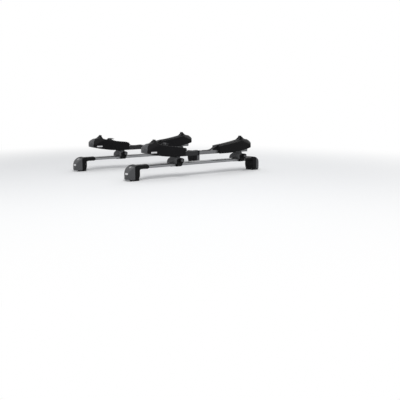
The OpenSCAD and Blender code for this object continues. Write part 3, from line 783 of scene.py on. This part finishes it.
for row in ROWS:
    for side in SIDES:
        knob = f"{row}_{side}_clamp_knob"
        low_corner, high_corner = (Vector(corner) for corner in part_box(knob))
        mesh = disc(knob + "_disc", (low_corner + high_corner) / 2, low_corner.y + DISC_SUNK)
        settle(knob + "_disc", mesh, grey_plastic, BODY_OF[knob])
print("a disc in each of", len(ROWS) * len(SIDES), "knobs")

# %% [markdown]
# The strap runs up out of the left horn's slot, over the horn and down onto the pad, through the buckle,
# along both tubes and up over the other horn. Its points repeat the cradle's own crown line, so it lies
# on the pads, and a smooth curve through them keeps the webbing's bends soft.

# %% The strap's route
WEBBING = 0.0016
GAP = 0.0003
SLOT_OUT = 0.0105
HORN_FOOT = -0.005
HORN_UP = 0.023
HORN_TOP = crown(HORN_FOOT) + HORN_UP
BUCKLE_IN = 0.076
BUCKLE_LIFT = 0.0021
TUBE_TOP = 0.168
INNER_TOP = 0.1645
GLIDE_WALL = 0.0015
TUBE_MOUTH = -0.009
GLIDE = 0.009
CURVE_STEPS = 4


def horn_end(lift):
    """The route over a horn and its pad: distances outwards from the horn's inner face, and heights."""
    rest = PAD_PROUD + GAP + WEBBING / 2
    foot = HORN_FOOT - 0.003
    edge = 0.006 - HOUSING_IN
    up_the_slot = [(SLOT_OUT, HORN_TOP + up) for up in (-0.030, -0.012, 0.003)]
    over_the_tip = [(SLOT_OUT - 0.004, HORN_TOP + 0.0075), (SLOT_OUT - 0.0085, HORN_TOP + 0.004)]
    down_the_face = [(SLOT_OUT - 0.0105, HORN_TOP - 0.28 * HORN_UP),
                     (SLOT_OUT - 0.013, HORN_TOP - 0.56 * HORN_UP), (foot, crown(foot) + rest + 0.002)]
    to_the_buckle = [(v, crown(v) + rest) for v in (-0.026, -0.044)]
    through_it = [(v, crown(v) + rest + lift) for v in (0.018 - BUCKLE_IN, -BUCKLE_IN, -0.018 - BUCKLE_IN)]
    down_the_pad = [(v, crown(v) + rest) for v in (-0.118, -0.140, -0.165, -0.190, edge)]
    off_the_edge = [(-HOUSING_IN - 0.012, 0.189)]
    return (up_the_slot + over_the_tip + down_the_face + to_the_buckle + through_it + down_the_pad
            + off_the_edge)


def smoothed(points):
    """A Catmull-Rom curve through the points."""
    line = []
    for i in range(len(points) - 1):
        a, b = points[max(i - 1, 0)], points[i]
        c, d = points[i + 1], points[min(i + 2, len(points) - 1)]
        for k in range(CURVE_STEPS):
            t = k / CURVE_STEPS
            line.append(0.5 * (2 * b + (c - a) * t + (2 * a - 5 * b + 4 * c - d) * t * t
                               + (3 * b - a - 3 * c + d) * t * t * t))
    return line + [points[-1]]


over = WEBBING / 2 + GAP
on_outer = TUBE_TOP + over
on_glide = TUBE_TOP + GLIDE_WALL + over
on_inner = INNER_TOP + over
left = [Vector((LEFT_HORN - v, z)) for v, z in horn_end(BUCKLE_LIFT)]
right = [Vector((RIGHT_HORN + v, z)) for v, z in reversed(horn_end(0))]
middle = [Vector(point) for point in (
    (-0.103, TUBE_TOP + 0.008), (-0.090, on_outer + 0.0026), (-0.077, on_outer + 0.0006),
    (-0.062, on_outer), (-0.034, on_outer), (TUBE_MOUTH - 0.005, on_glide),
    (TUBE_MOUTH + GLIDE + 0.005, on_glide), (0.028, on_inner + 0.002), (0.042, on_inner + 0.0005),
    (0.056, on_inner), (0.090, on_inner), (0.106, on_inner + 0.0006), (0.120, on_inner + 0.0026),
    (0.134, on_inner + 0.007))]
route = smoothed(left + middle + right)
length = sum((after - before).length for before, after in zip(route, route[1:]))
print("strap route:", len(route), "points,", round(length, 3), "m")

# %% [markdown]
# Webbing is a flat ribbon of one width, so each strap starts as one row of edges across it, which is drawn
# out step by step along the route. Each step writes metres along and across into the map that the weave
# reads. A Solidify modifier gives the thickness.

# %% Weave the straps
STRANDS = (-0.5, -0.46, -0.25, 0, 0.25, 0.46, 0.5)


def ribbon(name, line, row_y):
    """The ribbon on the line, and its length."""
    bm = bmesh.new()
    cloth = bm.loops.layers.uv.new(CLOTH_MAP)
    verts = [bm.verts.new((line[0].x, row_y + WEBBING_WIDTH * strand, line[0].y)) for strand in STRANDS]
    edges = [bm.edges.new(pair) for pair in zip(verts, verts[1:])]
    travelled = 0.0
    for a, b in zip(line, line[1:]):
        earlier = set(bm.faces)
        grown = bmesh.ops.extrude_edge_only(bm, edges=edges)["geom"]
        edges = [item for item in grown if isinstance(item, bmesh.types.BMEdge)]
        fresh = {item for item in grown if isinstance(item, bmesh.types.BMVert)}
        bmesh.ops.translate(bm, verts=list(fresh), vec=(b.x - a.x, 0, b.y - a.y))
        reached = travelled + (b - a).length
        for face in set(bm.faces) - earlier:
            for loop in face.loops:
                loop[cloth].uv = (reached if loop.vert in fresh else travelled, loop.vert.co.y - row_y)
        travelled = reached
    bmesh.ops.recalc_face_normals(bm, faces=bm.faces)
    for face in bm.faces:
        face.smooth = True
    return as_mesh(bm, name), travelled


def woven(row, ending, line, material):
    """A webbing piece on the line, and its length."""
    mesh, length = ribbon(row + ending, line, ROWS[row])
    mesh.materials.append(material)
    piece = linked(row + ending, mesh)
    wall = piece.modifiers.new("thickness", "SOLIDIFY")
    wall.thickness = WEBBING
    wall.offset = 0
    wall.use_even_offset = True
    row + "_slider"
    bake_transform(piece)
    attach(piece, "base")
    print(piece.name, round(length, 3), "m")
    return piece, length


for row in ROWS:
    strap, length = woven(row, "_webbing", route, black_webbing)
    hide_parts(row + "_strap")

# %% [markdown]
# From the inner tube to the middle of the right pad the strap is doubled: a second length is sewn onto it.
# It follows the same route, lifted along the route's own normal by one thickness, so both layers bend
# alike, and its two rows of stitches come from the webbing's finish.

# %% The doubled length
DOUBLED_FROM = 0.056
DOUBLED_TO = 0.270
LAYER = WEBBING + 0.0002


def lifted(line, by):
    """The line moved to its upper side."""
    above = []
    for before, point, after in zip([line[0], *line], line, [*line[1:], line[-1]]):
        run = (after - before).normalized()
        above.append(point + Vector((-run.y, run.x)) * by)
    return above


doubled = [point for point in lifted(route, LAYER) if DOUBLED_FROM <= point.x <= DOUBLED_TO]
for row in ROWS:
    second, length = woven(row, "_doubling", doubled, sewn_webbing)
    row + "_webbing"
